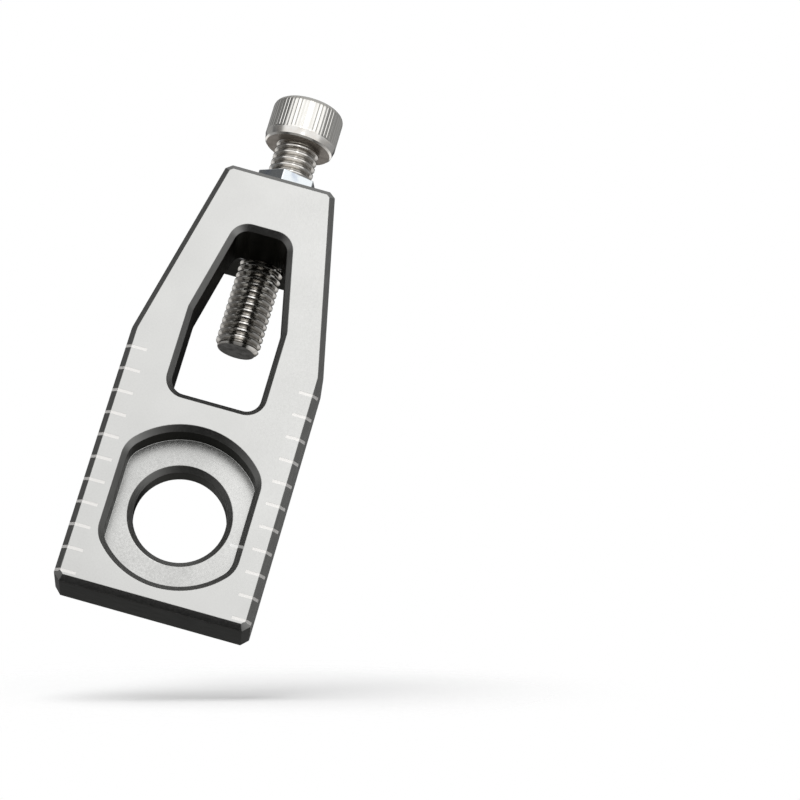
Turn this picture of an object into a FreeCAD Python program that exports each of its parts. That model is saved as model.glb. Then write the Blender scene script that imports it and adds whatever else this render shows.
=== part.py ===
"""Motorcycle chain adjuster: a milled axle plate with its end block, a socket screw and a lock nut.

Frame: millimetres, +Z along the plate towards the screw's head, +X across it, the marked front face
towards -Y. The origin is the centre of the axle bore, midway between the recess's floor and the plate's
back face, which lies on the swingarm. The plate's sketches are drawn from its back face.
"""
import FreeCAD, Part
import Sketcher
import math
import os

SIZES = [
    ("plate_width", 33.5, "width of the plate below the shoulders"),
    ("plate_top_width", 19.2, "width of the plate and its block at the top end"),
    ("plate_thick", 10.8, "thickness of the plate"),
    ("end_below", 17.4, "from the bore's centre down to the lower end"),
    ("shoulder_height", 28.4, "from the bore's centre up to where the sides turn in"),
    ("top_height", 61.9, "from the bore's centre up to the top end"),
    ("shoulder_round", 4, "radius where the sides turn in"),
    ("corner_low", 1.2, "cut of the two lower corners"),
    ("corner_top", 0.9, "cut of the two upper corners"),
    ("edge_cut", 1, "chamfer round the faces"),
    ("block_rise", 13.9, "how far the end block stands off the plate's back"),
    ("block_height", 11, "height of the end block"),
    ("cove", 4.2, "hollow radius under the end block"),
    ("bore", 15.7, "diameter of the axle bore"),
    ("bore_cut", 1, "chamfer at both ends of the bore"),
    ("recess_diameter", 26.8, "diameter of the nut recess round the bore"),
    ("recess_flats", 22, "width of the recess between its flats"),
    ("recess_depth", 5.1, "depth of the recess in the front face"),
    ("recess_corner", 4, "radius between flats and round of the recess"),
    ("window_width", 15.4, "width of the window at its lower end"),
    ("window_low", 19.35, "from the bore's centre up to the window"),
    ("window_shoulder", 34.4, "from the bore's centre up to where the window narrows"),
    ("window_top_width", 8.4, "width of the window at the top"),
    ("window_corner", 2.5, "corner radius of the window"),
    ("screw_off", 6.3, "from the plate's back to the screw's axis"),
    ("thread_across", 7.9, "outside diameter of the screw's thread"),
    ("thread_gap", 0.1, "clearance round the thread in the block and in the nut"),
    ("screw_length", 40, "length of the screw below its head"),
    ("screw_out", 13.1, "from the block's top to the underside of the screw's head"),
    ("tip_cut", 0.6, "chamfer at the screw's tip"),
    ("head_across", 12.8, "diameter of the screw's head"),
    ("head_height", 8, "height of the screw's head"),
    ("head_round", 1.3, "radius of the head's upper edge"),
    ("head_cut", 0.4, "chamfer of the head's lower edge"),
    ("socket_flats", 6, "width across the flats of the hexagon socket"),
    ("socket_deep", 4.2, "depth of the socket"),
    ("nut_flats", 10, "width across the flats of the lock nut"),
    ("nut_height", 6.5, "height of the lock nut with its flange"),
    ("nut_turn", 21.8, "turn of the nut's hexagon about the screw, in degrees"),
    ("nut_bevel", 0.45, "height of the bevel on the hexagon's upper corners"),
    ("flange_across", 13.5, "diameter of the nut's flange"),
    ("flange_rim", 0.8, "height of the flange's rim"),
    ("flange_slope", 1.6, "height of the cone from the rim to the hexagon"),
]
HEX_TURN = 60
TOLERANCE = 1e-3

doc = FreeCAD.newDocument("chain_adjuster")


def make_sheet():
    """Write the driving dimensions into the spreadsheet, one named cell each."""
    sheet = doc.addObject("Spreadsheet::Sheet", "Sizes")
    for row, (name, value, note) in enumerate(SIZES, 1):
        sheet.set(f"A{row}", name)
        sheet.set(f"B{row}", str(value))
        sheet.setAlias(f"B{row}", name)
        sheet.set(f"C{row}", note)
    doc.recompute()
    return sheet


sizes = make_sheet()


def number(formula):
    """Number that a formula of the sheet's names gives."""
    return float(sizes.evalExpression(formula))


def bind(thing, prop, formula):
    """Tie a property or a named constraint to the sheet."""
    names = sorted((entry[0] for entry in SIZES), key=len, reverse=True)
    words = formula.split()
    bound = [f"Sizes.{word}" if word in names else word for word in words]
    thing.setExpression(prop, " ".join(bound))


def new_body(name):
    """Body whose label names the piece and its file."""
    body = doc.addObject("PartDesign::Body", name)
    body.Label = name
    return body


def sketch_on(body, name, role, lift=None):
    """Sketch on one of the body's own planes, lifted off it by a formula."""
    plane = next(item for item in body.Origin.OriginFeatures if item.Role == role)
    sketch = body.newObject("Sketcher::SketchObject", name)
    sketch.AttachmentSupport = [(plane, "")]
    sketch.MapMode = "FlatFace"
    if lift:
        bind(sketch, "AttachmentOffset.Base.z", lift)
    return sketch


def hold(sketch, geo, point, across, up):
    """Hold a point of the sketch at two formulas, measured from the sketch's origin."""
    for kind, axis, formula in (("DistanceX", -2, across), ("DistanceY", -1, up)):
        reading = number(formula)
        if abs(reading) < TOLERANCE:
            sketch.addConstraint(Sketcher.Constraint("PointOnObject", geo, point, axis))
            continue
        ends = (-1, 1, geo, point) if reading > 0 else (geo, point, -1, 1)
        index = sketch.addConstraint(Sketcher.Constraint(kind, *ends, abs(reading)))
        bind(sketch, f"Constraints[{index}]", formula if reading > 0 else f"-1 * ( {formula} )")


def rounded(before, corner, after, radius):
    """Arc that rounds a corner, with whether it runs from the side before it to the side after."""
    come, leave = (corner - before).normalize(), (after - corner).normalize()
    turn = come.getAngle(leave)
    run = radius * math.tan(turn / 2)
    start, end = corner - come * run, corner + leave * run
    left = come.cross(leave).z > 0
    inward = FreeCAD.Vector(-come.y, come.x, 0) * (radius if left else -radius)
    middle = start + inward
    first, last = (start, end) if left else (end, start)
    angles = [math.atan2(spot.y - middle.y, spot.x - middle.x) for spot in (first, last)]
    circle = Part.Circle(middle, FreeCAD.Vector(0, 0, 1), radius)
    return Part.ArcOfCircle(circle, angles[0], angles[1]), left, start, end


def draw_loop(sketch, corners):
    """Draw a closed outline through corners given as (across, up, rounding radius or None)."""
    spots = [FreeCAD.Vector(number(across), number(up), 0) for across, up, _ in corners]
    count = len(corners)
    arcs = {}
    starts, ends = list(spots), list(spots)
    for at, (_, _, radius) in enumerate(corners):
        if radius:
            shape, left, start, end = rounded(spots[at - 1], spots[at], spots[(at + 1) % count],
                                              number(radius))
            arcs[at] = (shape, left)
            ends[at], starts[at] = start, end
    lines = [sketch.addGeometry(Part.LineSegment(starts[at], ends[(at + 1) % count]), False)
             for at in range(count)]
    for at, (across, up, radius) in enumerate(corners):
        before, after = lines[at - 1], lines[at]
        if at not in arcs:
            sketch.addConstraint(Sketcher.Constraint("Coincident", before, 2, after, 1))
            hold(sketch, after, 1, across, up)
            continue
        shape, left = arcs[at]
        arc = sketch.addGeometry(shape, False)
        mark = sketch.addGeometry(Part.Point(spots[at]), True)
        hold(sketch, mark, 1, across, up)
        sketch.addConstraint(Sketcher.Constraint("PointOnObject", mark, 1, before))
        sketch.addConstraint(Sketcher.Constraint("PointOnObject", mark, 1, after))
        sketch.addConstraint(Sketcher.Constraint("Tangent", before, 2, arc, 1 if left else 2))
        sketch.addConstraint(Sketcher.Constraint("Tangent", after, 1, arc, 2 if left else 1))
        index = sketch.addConstraint(Sketcher.Constraint("Radius", arc, number(radius)))
        bind(sketch, f"Constraints[{index}]", radius)
    return sketch


def both_sides(right):
    """Corners of an outline that mirrors itself, from those of its right side, lowest first."""
    left = [(f"-1 * ( {across} )", up, radius) for across, up, radius in reversed(right)]
    return list(right) + left


def draw_circle(sketch, diameter, up=None):
    """Circle on the sketch's upright axis, at its origin or at a formula above it."""
    spot = FreeCAD.Vector(0, number(up) if up else 0, 0)
    circle = Part.Circle(spot, FreeCAD.Vector(0, 0, 1), number(diameter) / 2)
    geo = sketch.addGeometry(circle, False)
    hold(sketch, geo, 3, "0", up or "0")
    index = sketch.addConstraint(Sketcher.Constraint("Diameter", geo, number(diameter)))
    bind(sketch, f"Constraints[{index}]", diameter)
    return sketch


def draw_hexagon(sketch, flats, turn="0"):
    """Regular hexagon round the sketch's origin, turned by a formula in degrees."""
    corner_out = f"( {flats} ) / 2 / cos( 30 )"
    corners = []
    for step in range(360 // HEX_TURN):
        angle = f"( {turn} + {step * HEX_TURN} )"
        corners.append((f"{corner_out} * cos( {angle} )", f"{corner_out} * sin( {angle} )", None))
    return draw_loop(sketch, corners)


def pad(body, name, sketch, length, back=None):
    """Pad along the sketch's normal, and the other way too where back is given."""
    feature = body.newObject("PartDesign::Pad", name)
    feature.Profile = sketch
    bind(feature, "Length", length)
    if back:
        feature.SideType = "Two sides"
        bind(feature, "Length2", back)
    doc.recompute()
    return feature


def pocket(body, name, sketch, depth=None):
    """Pocket into the body, to a depth or right through it both ways."""
    before = body.Shape.Volume
    feature = body.newObject("PartDesign::Pocket", name)
    feature.Profile = sketch
    if depth:
        bind(feature, "Length", depth)
    else:
        feature.SideType = "Symmetric"
        feature.Type = "ThroughAll"
    doc.recompute()
    if not body.Shape.Volume < before:
        raise RuntimeError(f"{name} cuts nothing")
    return feature


def revolve(body, name, sketch, kind="PartDesign::Revolution"):
    """Turn a sketch about its upright axis, as a solid or as a groove."""
    feature = body.newObject(kind, name)
    feature.Profile = sketch
    feature.ReferenceAxis = (sketch, ["V_Axis"])
    feature.Angle = 360
    doc.recompute()
    return feature


def edges_of(feature, wanted):
    """Names of the feature's edges for which wanted, given their bounds, is true."""
    return [f"Edge{at}" for at, edge in enumerate(feature.Shape.Edges, 1) if wanted(edge.BoundBox)]


def flat_at(low, high, level):
    """Whether a pair of bounds lies at one level."""
    return abs(low - level) < TOLERANCE and abs(high - level) < TOLERANCE


def cut_edges(body, name, feature, edges, width):
    """Chamfer the named edges of a feature."""
    if not edges:
        raise RuntimeError(f"{name} finds no edges")
    cut = body.newObject("PartDesign::Chamfer", name)
    cut.Base = (feature, edges)
    bind(cut, "Size", width)
    doc.recompute()
    return cut


BACK_FACE = "( plate_thick - recess_depth ) / 2"
WINDOW_TOP = "( top_height - block_height )"
COVE_FOOT = "( top_height - block_height - cove )"
WINDOW_LEAN = ("atan( ( window_width - window_top_width ) / 2"
               " / ( top_height - block_height - window_shoulder ) )")


def cut_billet(body):
    """Profile of the whole piece through its full depth, with the swingarm's seat milled away."""
    outline = draw_loop(sketch_on(body, "outline", "XZ_Plane"), both_sides([
        ("plate_width / 2", "-1 * end_below", None),
        ("plate_width / 2", "shoulder_height", "shoulder_round"),
        ("plate_top_width / 2", "top_height", None)]))
    pad(body, "billet", outline, "plate_thick", back="block_rise")
    past = "( block_rise + edge_cut )"
    below = "-1 * ( end_below + edge_cut )"
    seat = draw_loop(sketch_on(body, "seat_profile", "YZ_Plane"), [
        ("0", below, None), (past, below, None), (past, WINDOW_TOP, None), ("0", WINDOW_TOP, "cove")])
    return pocket(body, "seat", seat)


def cut_outside(body, seat):
    """Cut corners of the outline, then the chamfer round the front, the back and the block."""
    front, rear = -number("plate_thick"), number("block_rise")

    def corners_at(feature, level):
        """Edges of the outline's corners at one height, which run from front to back."""
        return edges_of(feature, lambda box: (box.YLength > number("plate_thick") / 2
                                              and flat_at(box.ZMin, box.ZMax, level)))

    low = cut_edges(body, "low_corners", seat, corners_at(seat, -number("end_below")), "corner_low")
    high = cut_edges(body, "top_corners", low, corners_at(low, number("top_height")), "corner_top")
    foot_of_cove = number(COVE_FOOT)

    def rim(box):
        """Edges of the front face, of the block's rear face and of the plate's back."""
        if flat_at(box.YMin, box.YMax, front) or flat_at(box.YMin, box.YMax, rear):
            return True
        return flat_at(box.YMin, box.YMax, 0) and not flat_at(box.ZMin, box.ZMax, foot_of_cove)

    return cut_edges(body, "outer_chamfer", high, edges_of(high, rim), "edge_cut")


def window_corners(wider="0", top=WINDOW_TOP):
    """Right side of the window's outline up to a height, made wider all round by a formula."""
    half, radius = "window_width / 2", f"window_corner + ( {wider} )"
    at_top = (f"{half} + ( {wider} ) / cos( {WINDOW_LEAN} )"
              f" - ( {top} - window_shoulder ) * tan( {WINDOW_LEAN} )")
    return [(f"{half} + ( {wider} )", f"window_low - ( {wider} )", radius),
            (f"{half} + ( {wider} )", f"window_shoulder + ( {wider} ) * tan( {WINDOW_LEAN} / 2 )", radius),
            (at_top, top, radius if top == WINDOW_TOP else None)]


def cut_window(body):
    """Window through the plate, which ends level with the block's underside."""
    sketch = draw_loop(sketch_on(body, "window_outline", "XZ_Plane"), both_sides(window_corners()))
    return pocket(body, "window", sketch)


def draw_flatted_circle(sketch, diameter, flats):
    """Circle round the sketch's origin with two upright flats."""
    half_flat = f"( {flats} ) / 2"
    reach, side = number(f"( {diameter} ) / 2"), number(half_flat)
    rise = math.sqrt(reach ** 2 - side ** 2)
    lean = math.atan2(rise, side)
    ring = Part.Circle(FreeCAD.Vector(0, 0, 0), FreeCAD.Vector(0, 0, 1), reach)
    upper = sketch.addGeometry(Part.ArcOfCircle(ring, lean, math.pi - lean), False)
    lower = sketch.addGeometry(Part.ArcOfCircle(ring, math.pi + lean, 2 * math.pi - lean), False)
    spot = FreeCAD.Vector
    right = sketch.addGeometry(Part.LineSegment(spot(side, -rise, 0), spot(side, rise, 0)), False)
    left = sketch.addGeometry(Part.LineSegment(spot(-side, rise, 0), spot(-side, -rise, 0)), False)
    for first, second in (((right, 2), (upper, 1)), ((upper, 2), (left, 1)),
                          ((left, 2), (lower, 1)), ((lower, 2), (right, 1))):
        sketch.addConstraint(Sketcher.Constraint("Coincident", *first, *second))
    for arc in (upper, lower):
        sketch.addConstraint(Sketcher.Constraint("Coincident", arc, 3, -1, 1))
    sketch.addConstraint(Sketcher.Constraint("Equal", upper, lower))
    index = sketch.addConstraint(Sketcher.Constraint("Diameter", upper, 2 * reach))
    bind(sketch, f"Constraints[{index}]", diameter)
    sketch.addConstraint(Sketcher.Constraint("Vertical", right))
    sketch.addConstraint(Sketcher.Constraint("Vertical", left))
    index = sketch.addConstraint(Sketcher.Constraint("DistanceX", -1, 1, right, 1, side))
    bind(sketch, f"Constraints[{index}]", half_flat)
    index = sketch.addConstraint(Sketcher.Constraint("DistanceX", left, 1, -1, 1, side))
    bind(sketch, f"Constraints[{index}]", half_flat)
    return sketch


def cut_bore(body):
    """Axle bore through the plate, in a round recess with two flats for the axle's nut."""
    bore = draw_circle(sketch_on(body, "bore_outline", "XZ_Plane"), "bore")
    pocket(body, "axle_bore", bore)
    outline = draw_flatted_circle(sketch_on(body, "recess_outline", "XZ_Plane", lift="plate_thick"),
                                  "recess_diameter", "recess_flats")
    recess = pocket(body, "nut_recess", outline, depth="recess_depth")

    def wall_corner(box):
        """Edges of the recess's wall where a flat meets the round."""
        return (abs(box.YLength - number("recess_depth")) < TOLERANCE
                and box.XLength < TOLERANCE and box.ZLength < TOLERANCE)

    rounding = body.newObject("PartDesign::Fillet", "recess_corners")
    rounding.Base = (recess, edges_of(recess, wall_corner))
    bind(rounding, "Radius", "recess_corner")
    doc.recompute()
    return rounding


def cut_mouths(body, base):
    """Chamfers round the mouths of the window, the recess and the bore."""
    front = -number("plate_thick")
    side, low = number("window_width / 2"), number("window_low")
    reach, bore = number("recess_diameter / 2"), number("bore / 2")

    def rims(box):
        """Edges of the front face that belong to the window or to the recess."""
        if not flat_at(box.YMin, box.YMax, front):
            return False
        window = max(-box.XMin, box.XMax) < side + TOLERANCE and box.ZMin > low - TOLERANCE
        recess = max(-box.XMin, box.XMax, -box.ZMin, box.ZMax) < reach + TOLERANCE
        return (window and box.ZMax < number(WINDOW_TOP) + TOLERANCE) or recess

    def bore_ends(box):
        """Circles at the two ends of the bore."""
        return abs(box.XLength - 2 * bore) < TOLERANCE and abs(box.ZLength - 2 * bore) < TOLERANCE

    mouths = cut_edges(body, "mouth_chamfer", base, edges_of(base, rims), "edge_cut")
    return cut_edges(body, "bore_chamfer", mouths, edges_of(mouths, bore_ends), "bore_cut")


def cut_window_back(body):
    """Chamfer of the window's mouth in the seat, which runs out at the foot of the cove."""
    past = "edge_cut / 2"
    outer = draw_loop(sketch_on(body, "window_back_outer", "XZ_Plane", lift=f"-1 * {past}"),
                      both_sides(window_corners(f"edge_cut + {past}", COVE_FOOT)))
    inner = draw_loop(sketch_on(body, "window_back_inner", "XZ_Plane", lift=f"edge_cut + {past}"),
                      both_sides(window_corners(f"-1 * {past}", COVE_FOOT)))
    before = body.Shape.Volume
    loft = body.newObject("PartDesign::SubtractiveLoft", "window_back_chamfer")
    loft.Profile = outer
    loft.Sections = [inner]
    loft.Ruled = True
    doc.recompute()
    if not body.Shape.Volume < before:
        raise RuntimeError("the window's back chamfer cuts nothing")
    return loft


def cut_screw_hole(body):
    """Hole for the screw through the block, which also clears the ends of the cove."""
    sketch = draw_circle(sketch_on(body, "screw_hole_outline", "XY_Plane", lift="top_height"),
                         "thread_across + 2 * thread_gap", up="screw_off")
    return pocket(body, "screw_hole", sketch)


def make_plate():
    """Plate and end block, one milled piece."""
    body = new_body("adjuster_plate")
    bind(body, "Placement.Base.y", BACK_FACE)
    cut_outside(body, cut_billet(body))
    cut_window(body)
    cut_mouths(body, cut_bore(body))
    cut_window_back(body)
    cut_screw_hole(body)
    return body


def make_screw():
    """Socket head screw through the block, its tip in the window."""
    body = new_body("adjusting_screw")
    bind(body, "Placement.Base.y", f"{BACK_FACE} + screw_off")
    bind(body, "Placement.Base.z", "top_height + screw_out")
    shank, head = "thread_across / 2", "head_across / 2"
    profile = draw_loop(sketch_on(body, "screw_profile", "XZ_Plane"), [
        ("0", "-1 * screw_length", None),
        (f"{shank} - tip_cut", "-1 * screw_length", None),
        (shank, "-1 * screw_length + tip_cut", None),
        (shank, "0", None),
        (f"{head} - head_cut", "0", None),
        (head, "head_cut", None),
        (head, "head_height", "head_round"),
        ("0", "head_height", None)])
    revolve(body, "screw_turning", profile)
    socket = draw_hexagon(sketch_on(body, "socket_outline", "XY_Plane", lift="head_height"),
                          "socket_flats")
    pocket(body, "socket", socket, depth="socket_deep")
    return body


def make_nut():
    """Flanged lock nut on the screw, seated on the block's top."""
    body = new_body("lock_nut")
    bind(body, "Placement.Base.y", f"{BACK_FACE} + screw_off")
    bind(body, "Placement.Base.z", "top_height")
    hexagon = draw_hexagon(sketch_on(body, "nut_hexagon", "XY_Plane"), "nut_flats", "nut_turn")
    pad(body, "nut_blank", hexagon, "nut_height")
    flange = draw_loop(sketch_on(body, "flange_profile", "XZ_Plane"), [
        ("0", "0", None),
        ("flange_across / 2", "0", None),
        ("flange_across / 2", "flange_rim", None),
        ("nut_flats / 2", "flange_rim + flange_slope", None),
        ("0", "flange_rim + flange_slope", None)])
    revolve(body, "flange", flange)
    corner = "nut_flats / 2 / cos( 30 )"
    past = f"( {corner} + nut_bevel )"
    bevel = draw_loop(sketch_on(body, "bevel_profile", "XZ_Plane"), [
        (f"{corner} - nut_bevel * tan( 60 )", "nut_height", None),
        (past, "nut_height - nut_bevel - nut_bevel / tan( 60 )", None),
        (past, "nut_height", None)])
    revolve(body, "nut_bevelling", bevel, "PartDesign::Groove")
    hole = draw_circle(sketch_on(body, "nut_hole_outline", "XY_Plane"),
                       "thread_across + 2 * thread_gap")
    pocket(body, "nut_hole", hole)
    return body


def check(bodies):
    """Stop if any feature failed or any piece isn't one valid solid."""
    for item in doc.Objects:
        if {"Invalid", "Error"} & set(item.State):
            raise RuntimeError(f"{item.Label} failed: {item.State}")
    for body in bodies:
        shape = body.Shape
        if shape.isNull() or not shape.isValid() or len(shape.Solids) != 1:
            raise RuntimeError(f"{body.Label} isn't one valid solid")


def export(bodies):
    """Write each piece to a file of its own."""
    os.makedirs("parts", exist_ok=True)
    for body in bodies:
        body.Shape.exportStep(f"parts/{body.Label}.step")
        box = body.Shape.BoundBox
        print(f"{body.Label}: {body.Shape.Volume / 1000:.3f} cm3, {box.XLength:.2f} x "
              f"{box.YLength:.2f} x {box.ZLength:.2f} mm, {len(body.Shape.Faces)} faces")


pieces = [make_plate(), make_screw(), make_nut()]
doc.recompute()
check(pieces)
export(pieces)
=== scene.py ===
"""Looks of a motorcycle chain adjuster: the milled axle plate, its adjusting screw and its lock nut.

Frame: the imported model's own, in metres. +Z runs along the plate towards the screw's head, +X across it,
and the marked front face looks towards -Y. The origin is the middle of the axle bore. Sizes in the classes
are millimetres, and each mesh is scaled to metres when it is made an object.
"""
import logging
import math
from dataclasses import dataclass
from enum import Enum

import bmesh
import bpy
from bmesh.types import BMesh, BMFace, BMVert
from bpy.types import ID, Material, Node, NodeSocket, NodeTree, Object
from mathutils import Matrix, Vector


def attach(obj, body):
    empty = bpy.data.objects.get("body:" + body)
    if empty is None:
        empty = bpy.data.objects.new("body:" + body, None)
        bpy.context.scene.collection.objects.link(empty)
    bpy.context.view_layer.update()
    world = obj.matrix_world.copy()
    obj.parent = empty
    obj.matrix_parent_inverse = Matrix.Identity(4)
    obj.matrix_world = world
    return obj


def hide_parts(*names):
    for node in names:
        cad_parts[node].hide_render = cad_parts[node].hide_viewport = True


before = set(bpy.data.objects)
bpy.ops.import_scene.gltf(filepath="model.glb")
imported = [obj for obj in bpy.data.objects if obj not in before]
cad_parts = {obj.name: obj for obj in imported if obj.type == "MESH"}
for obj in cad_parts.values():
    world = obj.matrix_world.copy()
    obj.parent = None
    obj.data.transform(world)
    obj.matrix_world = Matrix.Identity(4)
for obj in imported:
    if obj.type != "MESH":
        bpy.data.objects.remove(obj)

MM = 0.001
WELD = 1e-6
FLAT_ANGLE = math.radians(0.5)
ROUND_ANGLE = math.radians(10)
HEXAGON = 6
IMPORTED_NORMALS = "custom_normal"
# Sockets of a Mix node: its two numbers, its two colours, and the colour that comes out of it
MIX_VALUE_A = 2
MIX_VALUE_B = 3
MIX_COLOUR_A = 6
MIX_COLOUR_B = 7
MIX_COLOUR = 2
# Levels between which nearly all of a noise texture lies
NOISE_LOW = 0.3
NOISE_HIGH = 0.7
# Distance between two bands of a wave texture at scale 1
WAVE_PERIOD = math.pi / 10

log = logging.getLogger("chain_adjuster")


def linear(code: str) -> tuple[float, float, float, float]:
    """Turn an sRGB hex colour into a linear one.

    Args:
        code: colour written as #rrggbb.

    Returns:
        Red, green, blue and alpha for a shader's socket.
    """
    parts = [int(code[start:start + 2], 16) / 255 for start in (1, 3, 5)]
    values = [part / 12.92 if part <= 0.04045 else ((part + 0.055) / 1.055) ** 2.4 for part in parts]
    return values[0], values[1], values[2], 1.0


def cells(size: float) -> float:
    """Texture scale, in cells per metre, of a pattern whose parts are `size` millimetres apart."""
    return 1 / (size * MM)


def add_node(tree: NodeTree, kind: str, inputs: dict | None = None, **settings) -> Node:
    """Add a node with its settings and its links.

    Args:
        tree: node tree that takes the node.
        kind: Blender's name of the node type.
        inputs: value or output socket for each input, by its name or its number.
        settings: the node's own settings.

    Returns:
        The new node.
    """
    made = tree.nodes.new(kind)
    for name, value in settings.items():
        setattr(made, name, value)
    for name, value in (inputs or {}).items():
        if isinstance(value, NodeSocket):
            tree.links.new(value, made.inputs[name])
        else:
            made.inputs[name].default_value = value
    return made


class Grain(Enum):
    """Direction in which a cutter or a polish left its traces, as the pattern's scale along X, Y and Z."""

    NONE = (1.0, 1.0, 1.0)
    ALONG = (1.0, 1.0, 0.08)
    ACROSS = (0.08, 1.0, 1.0)
    DEPTH = (1.0, 0.08, 1.0)
    ROUND = (0.12, 0.12, 1.0)


@dataclass(frozen=True)
class Bands:
    """Even bands that a cutter leaves side by side along one axis, `pitch` millimetres apart.

    With a `fade`, they weaken to `least` of it from that far left of the middle to that far right.
    """

    axis: str
    profile: str
    pitch: float
    strength: float
    phase: float = 0.0
    fade: float = 0.0
    least: float = 0.25

    def add(self, tree: NodeTree, place: NodeSocket, shade: NodeSocket) -> NodeSocket:
        """Add the bands to a brightness.

        Args:
            tree: the material's node tree.
            place: object coordinates.
            shade: brightness without the bands.

        Returns:
            Brightness with the bands, which fade out across the plate where `fade` says so.
        """
        wave = add_node(
            tree,
            "ShaderNodeTexWave",
            {"Vector": place, "Scale": cells(self.pitch) * WAVE_PERIOD, "Phase Offset": self.phase},
            wave_type="BANDS",
            bands_direction=self.axis,
            wave_profile=self.profile,
        )
        strength = self.strength
        if self.fade:
            split = add_node(tree, "ShaderNodeSeparateXYZ", {0: place})
            strength = add_node(
                tree,
                "ShaderNodeMapRange",
                {
                    "Value": split.outputs["X"],
                    "From Min": -self.fade * MM,
                    "From Max": self.fade * MM,
                    "To Min": self.strength,
                    "To Max": self.strength * self.least,
                },
            ).outputs[0]
        return add_node(
            tree, "ShaderNodeMath", {0: wave.outputs["Fac"], 1: strength, 2: shade}, operation="MULTIPLY_ADD"
        ).outputs[0]


@dataclass(frozen=True)
class AluminiumFinish:
    """Aluminium as a tool left it: how pale it is, how far it spreads a reflection, and its traces.

    Sizes are millimetres. `edge` tints what is seen at a slant, and `metallic` is the share of bare metal.
    `turned` stretches the sheen across rings round the bore, and `lean` tips their marks towards it.
    """

    name: str
    pale: str
    deep: str
    roughness: float
    speck: float = 0.3
    cloud: float = 9.0
    cloud_share: float = 0.4
    uneven: float = 0.15
    relief: float = 0.006
    grain: Grain = Grain.NONE
    bands: Bands | None = None
    metallic: float = 1.0
    edge: str = "#ffffff"
    turned: float = 0.0
    lean: float = 0.0

    def make(self) -> Material:
        """Build the material.

        Returns:
            Metal with specks of two greys, uneven gloss and a fine relief.
        """
        material = bpy.data.materials.new(self.name)
        material.use_nodes = True
        tree = material.node_tree
        shader = tree.nodes["Principled BSDF"]
        shader.inputs["Metallic"].default_value = self.metallic
        shader.inputs["Specular Tint"].default_value = linear(self.edge)
        shader.inputs["Anisotropic"].default_value = self.turned
        place = add_node(tree, "ShaderNodeTexCoord").outputs["Object"]
        stretched = add_node(tree, "ShaderNodeMapping", {"Vector": place, "Scale": self.grain.value})
        fine = add_node(
            tree,
            "ShaderNodeTexNoise",
            {"Vector": stretched.outputs[0], "Scale": cells(self.speck), "Detail": 3, "Roughness": 0.6},
        )
        broad = add_node(
            tree, "ShaderNodeTexNoise", {"Vector": place, "Scale": cells(self.cloud), "Detail": 2}
        )
        shade = add_node(
            tree,
            "ShaderNodeMix",
            {0: self.cloud_share, MIX_VALUE_A: fine.outputs["Fac"], MIX_VALUE_B: broad.outputs["Fac"]},
            data_type="FLOAT",
        ).outputs[0]
        if self.bands:
            shade = self.bands.add(tree, place, shade)
        spread = add_node(
            tree, "ShaderNodeMapRange", {"Value": shade, "From Min": NOISE_LOW, "From Max": NOISE_HIGH}
        )
        colour = add_node(
            tree,
            "ShaderNodeMix",
            {0: spread.outputs[0], MIX_COLOUR_A: linear(self.deep), MIX_COLOUR_B: linear(self.pale)},
            data_type="RGBA",
        )
        gloss = add_node(
            tree,
            "ShaderNodeMapRange",
            {
                "Value": fine.outputs["Fac"],
                "From Min": NOISE_LOW,
                "From Max": NOISE_HIGH,
                "To Min": self.roughness * (1 - self.uneven),
                "To Max": self.roughness * (1 + self.uneven),
            },
        )
        relief = add_node(
            tree, "ShaderNodeBump", {"Height": shade, "Strength": 1, "Distance": self.relief * MM}
        ).outputs[0]
        if self.turned:
            relief = self.turn_marks(tree, place, relief)
        tree.links.new(colour.outputs[MIX_COLOUR], shader.inputs["Base Color"])
        tree.links.new(gloss.outputs[0], shader.inputs["Roughness"])
        tree.links.new(relief, shader.inputs["Normal"])
        return material

    def turn_marks(self, tree: NodeTree, place: NodeSocket, normal: NodeSocket) -> NodeSocket:
        """Lay the cutter's marks in rings round the bore, each a little steeper on its outer side.

        Args:
            tree: the material's node tree.
            place: object coordinates.
            normal: the surface's normal with its fine relief.

        Returns:
            Normal that leans towards the bore; the sheen is stretched across the rings.
        """
        spoke = add_node(tree, "ShaderNodeMapping", {"Vector": place, "Scale": (1, 0, 1)})
        outward = add_node(tree, "ShaderNodeVectorMath", {0: spoke.outputs[0]}, operation="NORMALIZE")
        tree.links.new(outward.outputs[0], tree.nodes["Principled BSDF"].inputs["Tangent"])
        leaning = add_node(
            tree,
            "ShaderNodeVectorMath",
            {0: outward.outputs[0], 1: (-self.lean,) * 3, 2: normal},
            operation="MULTIPLY_ADD",
        )
        turned = add_node(tree, "ShaderNodeVectorMath", {0: leaning.outputs[0]}, operation="NORMALIZE")
        return turned.outputs[0]


# Bead-blasted and clear-anodised aluminium: an even, slightly warm pale grey with a soft sheen
BLASTED = AluminiumFinish("bead_blasted_aluminium", "#dfdfdd", "#d2d2d0", 0.42, speck=0.35, relief=0.004)
# Face-milled aluminium: wide bands across the plate, each darker at one edge, with fine specks
MILLED = AluminiumFinish(
    "face_milled_aluminium", "#f2f4f4", "#d2d5d5", 0.36, speck=0.25,
    bands=Bands("Z", "SAW", pitch=8.5, strength=0.3, phase=2.96, fade=14.0),
)
# Bottom of the recess, milled in rings round the bore: pale and speckled, with a sheen that turns with them
POCKET = AluminiumFinish(
    "pocket_milled_aluminium", "#e0e0de", "#c2c2c0", 0.25, relief=0.005, turned=0.6, lean=0.01
)
# Chamfers cut with a countersink: even, with fine traces along the plate, and made darker than the faces as
# painted shade
CHAMFER_WITH_PAINTED_SHADE = AluminiumFinish(
    "chamfer_milled_aluminium_painted_shade", "#a4a4a2", "#9a9a98", 0.34, speck=0.25, relief=0.003, grain=Grain.ALONG
)
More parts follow.
